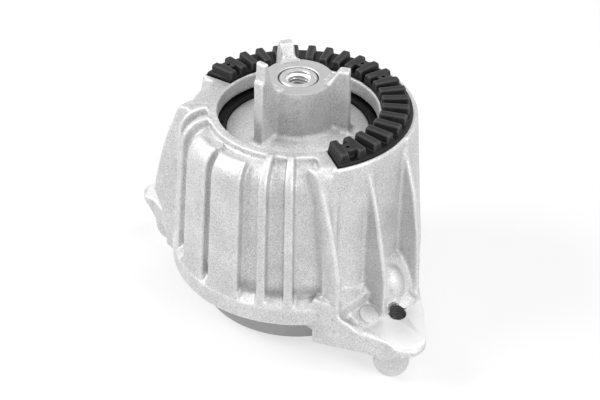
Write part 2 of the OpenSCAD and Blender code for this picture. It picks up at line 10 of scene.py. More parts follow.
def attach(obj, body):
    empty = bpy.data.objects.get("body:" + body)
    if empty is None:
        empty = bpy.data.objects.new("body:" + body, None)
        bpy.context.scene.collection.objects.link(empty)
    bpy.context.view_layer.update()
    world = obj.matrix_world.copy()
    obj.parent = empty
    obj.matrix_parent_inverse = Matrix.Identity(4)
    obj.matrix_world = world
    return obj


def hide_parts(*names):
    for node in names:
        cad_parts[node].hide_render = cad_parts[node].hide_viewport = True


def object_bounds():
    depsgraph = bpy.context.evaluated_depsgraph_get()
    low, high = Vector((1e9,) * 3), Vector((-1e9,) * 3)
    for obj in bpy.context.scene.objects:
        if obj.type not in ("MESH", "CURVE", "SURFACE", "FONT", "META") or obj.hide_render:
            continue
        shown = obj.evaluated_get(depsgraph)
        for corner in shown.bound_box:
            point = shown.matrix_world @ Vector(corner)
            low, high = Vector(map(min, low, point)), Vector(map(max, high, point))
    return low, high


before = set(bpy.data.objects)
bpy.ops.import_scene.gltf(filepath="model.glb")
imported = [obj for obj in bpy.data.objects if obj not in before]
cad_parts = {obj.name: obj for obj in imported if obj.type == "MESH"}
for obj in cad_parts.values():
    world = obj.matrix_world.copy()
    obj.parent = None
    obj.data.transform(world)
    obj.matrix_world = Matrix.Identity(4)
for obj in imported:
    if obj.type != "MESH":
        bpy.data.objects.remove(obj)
cad_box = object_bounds()

MM = 0.001

# Places and sizes in millimetres, in the row's frame; azimuths in degrees
# Feet: turn of the left one, hole, thread, milled face, and how far the cast surface stands over it
LEFT_TURN = math.radians(3.3)
HOLE_X, HOLE_Y = 75.5, -2.5
HOLE_R = 4.25
FOOT_THREAD_DEPTH, FOOT_THREAD_PITCH = 0.85, 1.5
FACE_Z = 21.5
FACE_EDGE = HOLE_X - 3
FOOT_Z = 9.5
CAST_PROUD = 0.8

# Cast relief on the feet: mound behind the hole, slope beside it as (x, z) of its two ends, and a pad
MOUND = (60.5, 4.0, 28.5)
MOUND_HALF = (9.8, 8.6, 12.5)
NEAR_SLOPE = ((71.6, 22.3), (62.5, 26.6))
SLOPE_PAD_X, SLOPE_PAD_Y, SLOPE_PAD_R = 67.9, -16.2, 4.9

# Barrel: heights, draft, the wall behind the left foot, and two small places on the deck
RIM_Z = 108.1
DECK_Z = 104.7
SHOULDER_Z = 93.1
DRAFT = math.tan(math.radians(4.5))
LEFT_WALL_R, LEFT_WALL_ROUNDING, LEFT_WALL_FOOT_Z = 56.3, 8.0, 34.0
LEFT_WALL_FROM, LEFT_WALL_TO = 194.4, 217.6
OUTSIDE_R = 66.0
RIB_END, RIB_END_R = (-37.6, -32.4), 2.6
DECK_PAD, DECK_PAD_R = (-5.6, -49.6), 3.3

# Buffers and their seat
BUFFER_MID = math.radians(83)
SEAT_Z = 106.3
SEAT_FROM, SEAT_TO = -26.6, 192.6
SEAT_IN_R, SEAT_OUT_R = 41.6, 57.62
NIB_RING_R, NIB_R, NIB_FOOT_Z = 49.65, 2.1, 102.2
NIB_SHARES, NIB_SPAN = (0.12, 0.5, 0.88), math.radians(108)
BAND_TOP_Z = 109.4

# Core: boss, fins by azimuth, insert and its thread, and the bead on the boss
BOSS_Z = 126.0
BOSS_STOCK_R, FACING_R = 17.4, 19.0
FINS = (-89, 31, 151)
INSERT_R = 9.5
INSERT_LEN = 30.0
INSERT_BORE_R, COUNTERBORE_R = 5.15, 6.3
INSERT_THREAD_DEPTH, INSERT_THREAD_PITCH = 0.95, 1.75
BEAD, BEAD_R = (12.9, 6.9), 2.0

# Mesh making: least squared edge, smoothing and gain of the relief, and the angle that stays sharp
LEAST_SQUARE, RELIEF_ROUNDS, RELIEF_GAIN = 0.04, 3, 2.5
SHARP_ANGLE = math.radians(38)


# Mesh helpers

def new_object(name, mesh):
    """A mesh object at the origin, linked to the scene."""
    obj = bpy.data.objects.new(name, mesh)
    bpy.context.scene.collection.objects.link(obj)
    return obj


def mesh_from(name, points, faces):
    """A mesh from points in millimetres and a list of triangle or quad arrays."""
    mesh = bpy.data.meshes.new(name)
    loops = np.concatenate([f.reshape(-1) for f in faces]).astype(np.int32)
    sizes = np.concatenate([np.full(len(f), f.shape[1]) for f in faces]).astype(np.int32)
    mesh.vertices.add(len(points))
    mesh.vertices.foreach_set("co", (points * MM).astype(np.float32).reshape(-1))
    mesh.loops.add(len(loops))
    mesh.loops.foreach_set("vertex_index", loops)
    mesh.polygons.add(len(sizes))
    mesh.polygons.foreach_set("loop_start", np.concatenate([[0], np.cumsum(sizes)[:-1]]).astype(np.int32))
    mesh.update(calc_edges=True)
    mesh.validate()
    return mesh


def grid_faces(rows, cols):
    """Quads of a grid of rows by cols points, closed round its columns."""
    a, b = np.meshgrid(np.arange(rows - 1), np.arange(cols), indexing="ij")
    b2 = (b + 1) % cols
    return np.stack([a * cols + b, a * cols + b2, (a + 1) * cols + b2, (a + 1) * cols + b], -1).reshape(-1, 4)


def merged_copy(node, name):
    """A CAD node's mesh as a new closed mesh, its doubles merged."""
    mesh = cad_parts[node].data.copy()
    mesh.name = name
    work = bmesh.new()
    work.from_mesh(mesh)
    bmesh.ops.remove_doubles(work, verts=work.verts, dist=1e-7)
    bmesh.ops.dissolve_degenerate(work, edges=work.edges, dist=1e-7)
    work.to_mesh(mesh)
    work.free()
    mesh.materials.clear()
    return new_object(name, mesh)


def apply_modifiers(obj):
    """Replaces an object's mesh by what its modifiers make of it."""
    graph = bpy.context.evaluated_depsgraph_get()
    mesh = bpy.data.meshes.new_from_object(obj.evaluated_get(graph))
    old = obj.data
    obj.modifiers.clear()
    obj.data = mesh
    bpy.data.meshes.remove(old)


def combine(obj, tools, operation):
    """Adds closed tool objects to obj or cuts them from it, and deletes them."""
    for tool in tools:
        change = obj.modifiers.new("change", "BOOLEAN")
        change.operation = operation
        change.solver = "MANIFOLD"
        change.object = tool
    apply_modifiers(obj)
    for tool in tools:
        bpy.data.objects.remove(tool)


def closed_rings(name, rings, low, high):
    """Closed solid through rings of points, an array of rows by columns by 3, with a pole below and above."""
    rows, cols = rings.shape[:2]
    count = rows * cols
    points = np.concatenate([rings.reshape(-1, 3), [low], [high]])
    i = np.arange(cols)
    j = (i + 1) % cols
    last = (rows - 1) * cols
    caps = np.concatenate([
        np.stack([np.full(cols, count), j, i], -1),
        np.stack([np.full(cols, count + 1), last + i, last + j], -1)])
    return new_object(name, mesh_from(name, points, [grid_faces(rows, cols), caps]))


def lathe(profile, centre=(0.0, 0.0), turns=96, name="lathe"):
    """Closed solid of revolution: each profile point (radius, z) goes round the axis; the ends lie on it."""
    prof = np.array(profile, float)
    angle = np.linspace(0, 2 * math.pi, turns, endpoint=False)
    ring = prof[1:-1]
    x = centre[0] + ring[:, :1] * np.cos(angle)
    y = centre[1] + ring[:, :1] * np.sin(angle)
    z = np.repeat(ring[:, 1:2], turns, 1)
    return closed_rings(name, np.stack([x, y, z], -1), (*centre, prof[0, 1]), (*centre, prof[-1, 1]))


def post(centre, radius, low, high, name="post"):
    """A round post from low to high."""
    return lathe([(0, low), (radius, low), (radius, high), (0, high)], centre, 64, name)


def thread_cutter(centre, minor, depth, pitch, low, high, name="thread"):
    """Solid of a thread's free space: at angle a and height z its radius is minor plus depth times a rounded
    ridge of z / pitch - a / turn, which falls back to minor over the last half pitch at either end."""
    turns, step = 120, pitch / 14
    z = np.arange(low, high + step / 2, step)
    angle = np.linspace(0, 2 * math.pi, turns, endpoint=False)
    a, h = np.meshgrid(angle, z)
    phase = (h / pitch - a / (2 * math.pi)) % 1
    ridge = np.clip(1.25 - 2.5 * np.abs(2 * phase - 1), 0, 1)
    fade = np.clip(np.minimum(h - low, high - h) / (pitch / 2), 0, 1)
    r = minor + depth * ridge * fade
    rings = np.stack([centre[0] + r * np.cos(a), centre[1] + r * np.sin(a), h], -1)
    return closed_rings(name, rings, (*centre, z[0]), (*centre, z[-1]))


def extruded(outline, low, high, place, name):
    """Closed prism: the outline's points at the depths low and high, put in space by place(u, v, depth)."""
    plan = np.array(outline, float)
    n = len(plan)
    points = np.concatenate([place(plan[:, 0], plan[:, 1], np.full(n, low)),
        place(plan[:, 0], plan[:, 1], np.full(n, high))])
    i = np.arange(n)
    j = (i + 1) % n
    sides = np.stack([i, j, n + j, n + i], -1)
    mesh = mesh_from(name, points, [sides, np.arange(n)[None, ::-1], np.arange(n, 2 * n)[None]])
    return new_object(name, mesh)


def prism(outline, low, high, name="prism"):
    """A closed prism over a plan outline given counter-clockwise."""
    return extruded(outline, low, high, lambda u, v, w: np.stack([u, v, w], -1), name)


def side_prism(outline, near, far, name="side"):
    """A closed prism along Y over an outline of (x, z) points given clockwise."""
    return extruded(outline, near, far, lambda u, v, w: np.stack([u, w, v], -1), name)


def sector(profile, first, last, name="sector", steps=24):
    """Closed ring sector: a counter-clockwise (radius, z) profile carried from one azimuth to the other."""
    prof = np.array(profile, float)
    n = len(prof)
    angle = np.radians(np.linspace(first, last, steps))[:, None]
    rings = np.stack([prof[:, 0] * np.cos(angle), prof[:, 0] * np.sin(angle),
        np.repeat(prof[None, :, 1], steps, 0)], -1)
    sides = grid_faces(steps, n)[:, ::-1]
    start = np.arange(n)[None]
    end = np.arange((steps - 1) * n, steps * n)[None, ::-1]
    mesh = mesh_from(name, rings.reshape(-1, 3), [sides, start[:, ::-1], end[:, ::-1]])
    work = bmesh.new()
    work.from_mesh(mesh)
    bmesh.ops.recalc_face_normals(work, faces=work.faces)
    work.to_mesh(mesh)
    work.free()
    return new_object(name, mesh)


def on_left(obj):
    """Mirrors a finished tool to the left foot's place."""
    move = Matrix.Rotation(LEFT_TURN, 4, "Z") @ Matrix.Diagonal((-1, 1, 1, 1))
    obj.data.transform(move)
    obj.data.flip_normals()
    return obj


def both_feet(make):
    """Makes a tool for the right foot and its mirrored twin for the left one."""
    return [make(), on_left(make())]


def offset_surface(points, tris, quads, distance, voxel):
    """Surface at a signed distance from a closed surface, from its level set."""
    grid = openvdb.FloatGrid.createLevelSetFromPolygons(
        points=points.astype(np.float32), triangles=tris.astype(np.uint32), quads=quads.astype(np.uint32),
        transform=openvdb.createLinearTransform(voxelSize=voxel), halfWidth=abs(distance) / voxel + 3)
    pts, quad = grid.convertToQuads(isovalue=distance)
    return pts, np.zeros((0, 3)), quad


def signed_volume(points, quads):
    """Volume of a closed quad surface, negative where its faces point inwards."""
    a, b, c, d = (points[quads[:, k]].astype(float) for k in range(4))
    return float(np.einsum("ij,ij->i", a, np.cross(b, c) + np.cross(c, d)).sum()) / 6


def soften(obj, name, fillet, edge, voxel, budget):
    """Rounds a solid as a casting or moulding is: inner corners by a closing and outer edges by an opening,
    both as distance surfaces of its level set. The result is thinned to the budget of triangles."""
    mesh = obj.data
    mesh.calc_loop_triangles()
    tris = np.zeros(len(mesh.loop_triangles) * 3, np.int32)
    mesh.loop_triangles.foreach_get("vertices", tris)
    pts = np.zeros(len(mesh.vertices) * 3, np.float32)
    mesh.vertices.foreach_get("co", pts)
    pts, tris, quads = pts.reshape(-1, 3) / MM, tris.reshape(-1, 3), np.zeros((0, 4))
    for distance in (fillet, -(fillet + edge), edge):
        pts, tris, quads = offset_surface(pts, tris, quads, distance, voxel)
        if signed_volume(pts, quads.astype(int)) < 0:
            quads = quads[:, ::-1]
    quads = quads.astype(int)
    bpy.data.objects.remove(obj)
    out = new_object(name, mesh_from(name, pts.astype(float), [quads]))
    if 2 * len(quads) > budget:
        thin = out.modifiers.new("thin", "DECIMATE")
        thin.ratio = budget / (2 * len(quads))
        apply_modifiers(out)
    return out


def mark_relief(obj):
    """Stores at each vertex the mean rise of its neighbours over its tangent plane for each squared distance,
    smoothed over the mesh: positive in a crease and negative on an edge. The painted shade in creases and the
    painted highlights on edges in the finishes follow it."""
    mesh = obj.data
    count = len(mesh.vertices)
    place, normal = np.zeros(count * 3, np.float32), np.zeros(count * 3, np.float32)
    mesh.vertices.foreach_get("co", place)
    mesh.vertex_normals.foreach_get("vector", normal)
    place, normal = place.reshape(-1, 3) / MM, normal.reshape(-1, 3)
    edges = np.zeros(len(mesh.edges) * 2, np.int32)
    mesh.edges.foreach_get("vertices", edges)
    a, b = edges.reshape(-1, 2).T
    way = place[b] - place[a]
    square = np.maximum((way ** 2).sum(1), LEAST_SQUARE)
    share = np.maximum(np.bincount(a, minlength=count) + np.bincount(b, minlength=count), 1)
    relief = (np.bincount(a, (normal[a] * way).sum(1) / square, count)
        - np.bincount(b, (normal[b] * way).sum(1) / square, count)) / share
    for _ in range(RELIEF_ROUNDS):
        around = np.bincount(a, relief[b], count) + np.bincount(b, relief[a], count)
        relief = (relief + around / share) / 2
    mesh.attributes.new("relief", "FLOAT", "POINT").data.foreach_set(
        "value", np.clip(relief * RELIEF_GAIN, -1, 1).astype(np.float32))


def set_finishes(obj, materials, choose):
    """Gives each face one of the materials: choose takes the faces' centres and normals as arrays."""
    mesh = obj.data
    mesh.materials.clear()
    for material in materials:
        mesh.materials.append(material)
    count = len(mesh.polygons)
    centre, normal = np.zeros(count * 3, np.float32), np.zeros(count * 3, np.float32)
    mesh.polygons.foreach_get("center", centre)
    mesh.polygons.foreach_get("normal", normal)
    places = choose(centre.reshape(-1, 3) / MM, normal.reshape(-1, 3))
    mesh.polygons.foreach_set("material_index", places.astype(np.int32))


def smooth_shade(obj):
    """Smooth shading that keeps the edges where faces meet at a sharp angle."""
    obj.data.shade_smooth()
    obj.data.set_sharp_from_angle(angle=SHARP_ANGLE)


# Material nodes

class Value:
    """A socket that takes part in Python expressions, each of which adds a Math node."""

    def __init__(self, tree, socket):
        self.tree = tree
        self.socket = socket

    def _math(self, operation, *others, swap=False):
        node = self.tree.nodes.new("ShaderNodeMath")
        node.operation = operation
        terms = [self, *others]
        if swap:
            terms = terms[::-1]
        for slot, term in zip(node.inputs, terms):
            if isinstance(term, Value):
                self.tree.links.new(term.socket, slot)
            else:
                slot.default_value = term
        return Value(self.tree, node.outputs[0])

    def __add__(self, other):
        return self._math("ADD", other)

    def __sub__(self, other):
        return self._math("SUBTRACT", other)

    def __rsub__(self, other):
        return self._math("SUBTRACT", other, swap=True)

    def __mul__(self, other):
        return self._math("MULTIPLY", other)

    def __gt__(self, other):
        return self._math("GREATER_THAN", other)

    def __lt__(self, other):
        return self._math("LESS_THAN", other)

    def clamped(self):
        return self._math("MINIMUM", 1.0)._math("MAXIMUM", 0.0)

    def between(self, low, high, soft):
        """1 from low to high, and a soft fall to 0 beyond them."""
        rise = ((self - (low - soft)) * (1 / soft)).clamped()
        return rise * (((high + soft) - self) * (1 / soft)).clamped()

    def root(self):
        return self._math("SQRT")

    __radd__ = __add__
    __rmul__ = __mul__


class Finish:
    """A material's node tree with one method for its nodes."""

    def __init__(self, name):
        self.material = bpy.data.materials.new(name)
        self.material.use_nodes = True
        self.tree = self.material.node_tree
        self.shader = self.tree.nodes["Principled BSDF"]
        self.place = self.node("ShaderNodeTexCoord").outputs["Object"]
        split = self.node("ShaderNodeSeparateXYZ", {}, {"Vector": self.place})
        self.x, self.y, self.z = (Value(self.tree, split.outputs[k]) * (1 / MM) for k in "XYZ")

    def feed(self, slot, value):
        """Links a Value or a socket to a node's input, or sets a plain value on it."""
        link = value.socket if isinstance(value, Value) else value
        if isinstance(link, bpy.types.NodeSocket):
            self.tree.links.new(link, slot)
        else:
            slot.default_value = link

    def node(self, kind, settings=None, sockets=None):
        """A node of a type, with its settings and then the values or links of its sockets."""
        node = self.tree.nodes.new(kind)
        for key, value in (settings or {}).items():
            setattr(node, key, value)
        for key, value in (sockets or {}).items():
            self.feed(node.inputs[key], value)
        return node

    def waves(self, distance, length):
        """Sine of a distance in millimetres with waves of a length."""
        node = self.node("ShaderNodeMath", {"operation": "SINE"}, {0: distance * (2 * math.pi / length)})
        return Value(self.tree, node.outputs[0])

    def radius(self, middle=(0.0, 0.0)):
        """Distance in millimetres from an upright axis through a middle at x, y."""
        x, y = self.x - middle[0], self.y - middle[1]
        return (x * x + y * y).root()

    def noise(self, size, detail=3.0, rough=0.55, spread=1.0):
        """Noise about 0.5 with features of a size in millimetres, its contrast times spread."""
        node = self.node("ShaderNodeTexNoise", sockets={"Vector": self.place, "Scale": 1 / (size * MM),
            "Detail": detail, "Roughness": rough})
        value = Value(self.tree, node.outputs["Fac"])
        return ((value - 0.5) * spread + 0.5).clamped()

    def crystals(self, size):
        """A random value for each cell of a size in millimetres."""
        node = self.node("ShaderNodeTexVoronoi", sockets={"Vector": self.place, "Scale": 1 / (size * MM)})
        split = self.node("ShaderNodeSeparateColor", sockets={"Color": node.outputs["Color"]})
        return Value(self.tree, split.outputs[0])

    def relief(self):
        """Shares from 0 to 1 of crease and of edge at the piece's surface."""
        node = self.node("ShaderNodeAttribute", {"attribute_name": "relief"})
        value = Value(self.tree, node.outputs["Fac"])
        return value.clamped(), (value * -1.0).clamped()

    def mix(self, factor, first, second):
        """A colour between two colours, each one a tuple or a link."""
        node = self.node("ShaderNodeMix", {"data_type": "RGBA"})
        for key, value in (("Factor", factor), (6, first), (7, second)):
            self.feed(node.inputs[key], value)
        return node.outputs[2]

    def bump(self, height, distance, strength, under=None):
        """A bump of a height in millimetres, over another one where given."""
        sockets = {"Height": height, "Distance": distance * MM, "Strength": strength}
        if under:
            sockets["Normal"] = under
        return self.node("ShaderNodeBump", sockets=sockets).outputs["Normal"]

    def surface(self, **sockets):
        """Sets or links the shader's own sockets, named with underscores for spaces."""
        for key, value in sockets.items():
            self.feed(self.shader.inputs[key.replace("_", " ")], value)
        return self.material


def grey(level, tint=0.0):
    """A grey with a slight cool or warm tint, as a colour."""
    return (level, level, level * (1 + tint), 1.0)


def cast_aluminium():
    """Blasted die casting: fine bright and dark grain, broad tarnish, pits, painted shade at the lower groove ends
    and in creases, and painted highlights on edges.
    """
    f = Finish("cast aluminium")
    grain = f.noise(0.55, 2.0, 0.6, 2.6)
    cells = f.crystals(0.42)
    clouds = f.noise(16.0, 4.0, 0.6, 2.2)
    pits = (f.noise(1.7, 2.0, 0.7, 1.0) > 0.66) * 0.5
    level = (grain * 0.55 + cells * 0.4 + clouds * 0.3 - 0.12).clamped()
    tone = f.mix(level, grey(0.40), grey(0.93))
    radius = f.radius()
    # Painted shade: darker at the lower ends of the grooves in front, around heights 35.5 to 39 mm and radii 55 to
    # 61 mm.
    groove_shade_mask = f.z.between(35.5, 39.0, 4.0) * (1 - (radius - 61.0).clamped()) * (radius > 55.0) * (f.y < -33.0)
    groove_shade_amount = ((f.noise(5.0, 4.0, 0.6, 2.0) + 0.25) * groove_shade_mask).clamped() * 0.55
    tone = f.mix(groove_shade_amount, tone, grey(0.16))
    tone = f.mix(pits, tone, grey(0.34))
    crease, edge = f.relief()
    # Painted shade darkens the creases, and a painted highlight brightens the edges.
    tone = f.mix(crease * (0.45 + clouds * 0.4), tone, grey(0.20))
    tone = f.mix(edge * 0.75, tone, grey(0.97))
    normal = f.bump(grain, 0.12, 0.7, f.bump(f.noise(4.0, 3.0, 0.5), 0.25, 0.35))
    return f.surface(Base_Color=tone, Metallic=0.6, Roughness=(0.5 + clouds * 0.12 - cells * 0.2 - edge * 0.1),
        Normal=normal)


def milled_aluminium(name, middle, low, high):
    """Milled face: smoother than the casting, with arcs of feed marks round a middle at x, y."""
    f = Finish(name)
    lines = f.waves(f.radius(middle), 0.5)
    soft = f.noise(3.0, 4.0, 0.6, 1.5)
    tone = f.mix(soft * 0.6 + f.noise(0.4, 2.0, 0.6, 1.5) * 0.3, grey(low), grey(high))
    return f.surface(Base_Color=tone, Metallic=0.7, Roughness=0.34 + soft * 0.12,
        Normal=f.bump(lines, 0.012, 0.3))


def hole_shade_finish():
    """Painted shade: a dark metal for the walls of the feet's tapped holes and for the gap round the insert."""
    f = Finish("hole shade")
    clouds = f.noise(1.2, 3.0, 0.6, 2.0)
    tone = f.mix(clouds, grey(0.16), grey(0.36))
    return f.surface(Base_Color=tone, Metallic=0.85, Roughness=0.3 + clouds * 0.15)


def turned_steel():
    """Turned steel with rings round the axis: matt on top, with painted highlights on its edges and painted light
    that makes the bore bright.
    """
    f = Finish("turned steel")
    rings = f.waves(f.radius(), 0.32)
    clouds = f.noise(2.5, 3.0, 0.6, 2.0)
    tone = f.mix(clouds, grey(0.34, 0.02), grey(0.50, 0.02))
    _, edge = f.relief()
    # Painted highlight on the edges.
    tone = f.mix(edge, tone, grey(0.85))
    # Painted light: the bore below the top is made near-white.
    tone = f.mix(((BOSS_Z - 0.7 - f.z) * 2).clamped(), tone, grey(0.93))
    return f.surface(Base_Color=tone, Metallic=0.95, Roughness=0.26 + clouds * 0.12,
        Normal=f.bump(rings, 0.01, 0.3))


def moulded_rubber():
    """Near-black moulded rubber with a fine skin and traces of dust, with painted shade darkest between the teeth
    and in creases, and painted highlights on the edges.
    """
    f = Finish("moulded rubber")
    skin = f.noise(0.8, 3.0, 0.6, 1.6)
    dust = f.noise(6.0, 5.0, 0.65, 2.4)
    crease, edge = f.relief()
    valley = (BAND_TOP_Z + 1.0 - f.z).clamped()
    tone = f.mix(dust * 0.4 + skin * 0.2 + 0.1, grey(0.006), grey(0.05))
    # Painted highlight on the edges.
    tone = f.mix(edge * 0.8, tone, grey(0.12))
    # Painted shade between the teeth, below the band top, and in the creases.
    tone = f.mix((valley * 0.8 + crease * 0.5).clamped(), tone, grey(0.002))
    return f.surface(Base_Color=tone, Roughness=0.34 + dust * 0.14, Specular_IOR_Level=0.16,
        Normal=f.bump(skin, 0.05, 0.3))


def coated_pan():
    """Pressed pan with a smooth grey coat and faint mottling."""
    f = Finish("coated pan")
    clouds = f.noise(12.0, 4.0, 0.55, 1.6)
    fine = f.noise(0.6, 2.0, 0.6, 1.4)
    tone = f.mix(clouds * 0.6 + fine * 0.3, grey(0.30), grey(0.44))
    return f.surface(Base_Color=tone, Metallic=0.55, Roughness=0.42 + clouds * 0.12,
        Normal=f.bump(fine, 0.03, 0.25))


ALUMINIUM = cast_aluminium()
# Lit and shaded copies of one milled finish: the feet's milled faces are painted light with near-white greys, and
# the boss top is painted shade with mid greys.
MILLED_LIT = milled_aluminium("milled aluminium", (40.0, -2.0), 0.90, 0.99)
FACED_SHADED = milled_aluminium("faced aluminium", (0.0, 0.0), 0.50, 0.64)
HOLE_SHADE = hole_shade_finish()
STEEL = turned_steel()
RUBBER = moulded_rubber()
PAN = coated_pan()


# Housing

def left_wall():
    """All that lies outside the drafted wall with a round shoulder behind the left foot."""
    turn = np.radians(np.linspace(0, 86, 12))
    arc = [(LEFT_WALL_R - LEFT_WALL_ROUNDING * (1 - math.cos(t)), RIM_Z - LEFT_WALL_ROUNDING * (1 - math.sin(t)))
        for t in turn]
    foot, top = LEFT_WALL_FOOT_Z, RIM_Z + 6
    wall = LEFT_WALL_R + (SHOULDER_Z - foot) * DRAFT
    profile = [(wall, foot), (OUTSIDE_R, foot), (OUTSIDE_R, top), (arc[-1][0], top)] + arc[::-1]
    return sector(profile, LEFT_WALL_FROM, LEFT_WALL_TO, "left_wall")


def foot_stock():
    """Extra cast height over the milled face, so that milling leaves a crisp edge."""
    outline = [(FACE_EDGE, -26), (HOLE_X + 2, -24), (HOLE_X + 12, -22.5), (HOLE_X + 17, -21), (HOLE_X + 22, -17),
        (HOLE_X + 23, -11), (HOLE_X + 21, -5), (HOLE_X + 7, 9), (HOLE_X - 2, 16), (FACE_EDGE, 16.5)]
    return prism(outline, FACE_Z - 1, FACE_Z + CAST_PROUD, "stock")


def foot_plug():
    """Fills the CAD's foot hole while the casting is rounded."""
    return post((HOLE_X, HOLE_Y), HOLE_R + 1.6, FOOT_Z + 0.01, FACE_Z, "plug")


def ramp():
    """Cast slope that rises from the middle of the foot's hole to the mound behind it."""
    outline = [(56, FACE_Z - 1), (HOLE_X + 0.8, FACE_Z - 1), (HOLE_X + 0.8, FACE_Z + 0.2), (71.9, 24.0),
        (66.5, 28.0), (62, 33), (56, 38)]
    return side_prism(outline, -7.6, 11.0, "ramp")


def near_ramp():
    """Cast slope between the near and middle ribs, down to the milled face."""
    low, high = NEAR_SLOPE
    outline = [(54, FACE_Z - 1), (low[0], FACE_Z - 1), low, high, (54, high[1] + 1.5)]
    return side_prism(outline, -25.0, -10.2, "near_ramp")


def slope_pad():
    """Low round pad, tilted to lie on the near slope."""
    low, high = NEAR_SLOPE
    tilt = math.atan2(high[1] - low[1], low[0] - high[0])
    rise, run = math.sin(tilt), math.cos(tilt)
    middle_z = low[1] + (low[0] - SLOPE_PAD_X) * math.tan(tilt)

    def tilted(u, v, w):
        return np.stack([SLOPE_PAD_X + w * rise + u * run, v + SLOPE_PAD_Y, middle_z + w * run - u * rise], -1)

    turn = np.linspace(0, 2 * math.pi, 64, endpoint=False)
    circle = SLOPE_PAD_R * np.stack([np.cos(turn), np.sin(turn)], -1)
    return extruded(circle, -2.0, 0.7, tilted, "slope_pad")


def ledge_cut():
    """Lowers the floor between the near and middle ribs to a flat ledge, with a slope up to the near edge."""
    floor_z = FACE_Z + CAST_PROUD
    outline = [(-33.5, 40), (-33.5, 30), (-30.5, 26.5), (-24.5, floor_z), (-10.6, floor_z), (-10.6, 40)]
    return extruded(outline, 62.5, FACE_EDGE + 8, lambda u, v, w: np.stack([w, u, v], -1), "ledge")


def milling():
    """Space over the milled face, with its inner boundary as the cutter left it."""
    outline = [(HOLE_X - 4.5, -22.4), (HOLE_X + 10.5, -22.8), (HOLE_X + 19.3, -22.3), (HOLE_X + 22.9, -17.4),
        (HOLE_X + 30, -16), (HOLE_X + 30, 30), (HOLE_X + 1.4, 30), (HOLE_X + 0.8, 9), (HOLE_X + 0.4, 3),
        (HOLE_X - 0.8, -3), (HOLE_X - 2.6, -7), (HOLE_X - 3.8, -12), (HOLE_X - 4.4, -17)]
    return prism(outline, FACE_Z, FACE_Z + 12, "milling")


def left_rib():
    """The left foot's near rib, put back after the wall behind it is cut."""
    rise = RIM_Z - FACE_Z
    edge = [(0.56, 0.99), (0.63, 0.975), (0.665, 0.93), (0.71, 0.84), (0.785, 0.70), (0.855, 0.528),
        (0.915, 0.365), (0.94, 0.26), (0.85, 0.1), (0.84, 0)]
    outline = [(42, FACE_Z), (42, FACE_Z + 0.99 * rise)] + [(HOLE_X * x, FACE_Z + z * rise) for x, z in edge]
    return on_left(side_prism(outline, -37, -34, "rib"))


def seat_ring(inner, outer, low, high, grow, name):
    """Sector along the buffers' seat, longer than the seat by grow degrees at either end."""
    return sector([(inner, low), (outer, low), (outer, high), (inner, high)], SEAT_FROM - grow, SEAT_TO + grow,
        name, 120)


def nib_hole(share, side):
    """Blind hole for one of a buffer's nibs."""
    a = BUFFER_MID + side * NIB_SPAN * share
    return post((NIB_RING_R * math.cos(a), NIB_RING_R * math.sin(a)), NIB_R, NIB_FOOT_Z, SEAT_Z + 1, "nib")


def crown():
    """Domed top of the mound behind the foot's hole: an ellipsoid. At azimuth a and elevation e, x and y are
    the middle plus the half-axis times cos e times cos a or sin a, and z is the middle plus its own times sin e."""
    around = np.linspace(0, 2 * math.pi, 48, endpoint=False)
    up = np.linspace(-1.45, 1.45, 24)
    a, e = np.meshgrid(around, up)
    (x, y, z), (half_x, half_y, half_z) = MOUND, MOUND_HALF
    rings = np.stack([x + half_x * np.cos(e) * np.cos(a), y + half_y * np.cos(e) * np.sin(a),
        z + half_z * np.sin(e)], -1)
    return closed_rings("crown", rings, (x, y, z - half_z), (x, y, z + half_z))


def foot_bore():
    """Hole through the foot and the slope behind it, chamfered below."""
    return lathe([(0, FOOT_Z - 2), (HOLE_R + 1, FOOT_Z - 2), (HOLE_R + 1, FOOT_Z), (HOLE_R, FOOT_Z + 1),
        (HOLE_R, FACE_Z + 8), (0, FACE_Z + 8)], (HOLE_X, HOLE_Y), 96, "bore")


def foot_thread():
    """Thread turns of the foot's hole, up to the slope behind it."""
    return thread_cutter((HOLE_X, HOLE_Y), HOLE_R - 0.05, FOOT_THREAD_DEPTH, FOOT_THREAD_PITCH, FOOT_Z + 0.2,
        FACE_Z + 4.0)


def build_housing():
    """Casting from the CAD housing: seat and holes are plugged while it is rounded, and then cut crisp."""
    obj = merged_copy("housing", "cast_housing")
    combine(obj, [left_wall(), seat_ring(SEAT_IN_R - 1.6, OUTSIDE_R, RIM_Z + 0.1, RIM_Z + 5, 1.2, "lip")]
        + both_feet(ledge_cut), "DIFFERENCE")
    combine(obj, [left_rib(), post(RIB_END, RIB_END_R, DECK_Z - 6.7, RIM_Z - 0.3, "rib_end"),
        seat_ring(SEAT_IN_R - 0.3, SEAT_OUT_R + 0.28, SEAT_Z - 1, RIM_Z + 0.1, -0.2, "seat")]
        + both_feet(foot_stock) + both_feet(foot_plug) + both_feet(crown) + both_feet(ramp)
        + both_feet(near_ramp), "UNION")
    obj = soften(obj, "cast_housing", 1.25, 0.8, 0.55, 170000)
    combine(obj, [slope_pad(), post(DECK_PAD, DECK_PAD_R, DECK_Z - 2, DECK_Z + 0.8, "deck_pad")], "UNION")
    combine(obj, [seat_ring(SEAT_IN_R, SEAT_OUT_R, SEAT_Z - 0.01, RIM_Z + 5, -0.8, "recess")]
        + [nib_hole(share, side) for share in NIB_SHARES for side in (-1, 1)], "DIFFERENCE")
    combine(obj, both_feet(milling), "DIFFERENCE")
    combine(obj, both_feet(foot_bore), "DIFFERENCE")
    combine(obj, both_feet(foot_thread), "DIFFERENCE")
    return obj


